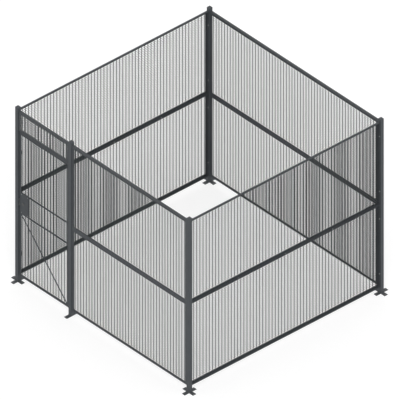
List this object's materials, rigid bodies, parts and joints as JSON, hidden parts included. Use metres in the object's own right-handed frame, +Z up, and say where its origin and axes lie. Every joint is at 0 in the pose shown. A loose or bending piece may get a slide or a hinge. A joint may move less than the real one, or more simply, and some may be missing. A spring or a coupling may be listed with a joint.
{
  "type": "wire mesh partition with door",
  "caption": "Square free-standing wire mesh partition cage with angle-framed panels bolted between square posts on flat bar feet and a braced, hinged mesh door with a deadbolt lock.",
  "frame": {"origin": "on the floor at the centre of the square footprint of the feet", "axes": "+Z up, +X along the door wall from the latch side to the hinge side, and the outside of the door wall faces -Y"},
  "size_m": [3.2892, 3.2892, 2.5717],
  "materials": {
    "post_paint": "dark grey powder coat, satin",
    "frame_paint": "dark grey powder coat, satin",
    "wire_paint": "dark grey powder coat on wire, satin",
    "zinc_plate": "bright zinc plate",
    "satin_metal": "satin nickel plate",
    "black_nickel": "black nickel plate",
    "bumper_rubber": "matt black rubber"
  },
  "bodies": {
    "cage": {"post_left": "post_paint", "post_front": "post_paint", "post_right": "post_paint", "post_back": "post_paint", "post_jamb": "post_paint", "foot_left": "post_paint", "foot_front": "post_paint", "foot_right": "post_paint", "foot_back": "post_paint", "foot_jamb": "post_paint", "post_caps": "post_paint", "right_lower_frame": "frame_paint", "right_upper_frame": "frame_paint", "back_lower_frame": "frame_paint", "back_upper_frame": "frame_paint", "left_lower_frame": "frame_paint", "left_upper_frame": "frame_paint", "front_lower_frame": "frame_paint", "front_upper_frame": "frame_paint", "transom_frame": "frame_paint", "right_lower_mesh": "wire_paint", "right_upper_mesh": "wire_paint", "back_lower_mesh": "wire_paint", "back_upper_mesh": "wire_paint", "left_lower_mesh": "wire_paint", "left_upper_mesh": "wire_paint", "front_lower_mesh": "wire_paint", "front_upper_mesh": "wire_paint", "transom_mesh": "wire_paint", "panel_bolts": "zinc_plate", "panel_inserts": "zinc_plate", "splice_bolts": "zinc_plate", "splice_nuts": "zinc_plate", "hinge_jamb_leaves": "zinc_plate", "hinge_pins": "satin_metal", "hinge_jamb_screws": "zinc_plate", "strike_plate": "satin_metal", "strike_screws": "zinc_plate"},
    "door": {"door_frame": "frame_paint", "door_mesh": "wire_paint", "door_bar_upper": "frame_paint", "door_bar_lower": "frame_paint", "door_brace": "frame_paint", "hinge_door_leaves": "zinc_plate", "hinge_door_screws": "zinc_plate", "lock_case": "frame_paint", "lock_cover": "frame_paint", "cover_screws": "zinc_plate", "lock_cylinder": "black_nickel", "cylinder_nut": "zinc_plate", "thumb_rose": "satin_metal", "bolt_guide": "zinc_plate", "stop_clips": "frame_paint", "stop_bumpers": "bumper_rubber", "stop_screws": "zinc_plate"},
    "lock_spindle": {"key_plug": "black_nickel", "lock_crank": "zinc_plate", "thumb_turn": "satin_metal"},
    "deadbolt": {"deadbolt": "satin_metal"}
  },
  "joints": [
    {"name": "door_swing", "type": "hinge", "parent": "cage", "child": "door", "pos_m": [-0.61277, -1.518, 1.1557], "axis": [0, 0, -1], "range_deg": [0, 170]},
    {"name": "thumb_turn", "type": "hinge", "parent": "door", "child": "lock_spindle", "pos_m": [-1.44765, -1.5494, 1.1811], "axis": [0, -1, 0], "range_deg": [0, 90]},
    {"name": "bolt_slide", "type": "slide", "parent": "door", "child": "deadbolt", "axis": [-1, 0, 0], "range_m": [0, 0.019]}
  ],
  "couplings": [
    {"joint": "bolt_slide", "follows": "thumb_turn", "m_per_rad": 0.012095}
  ]
}
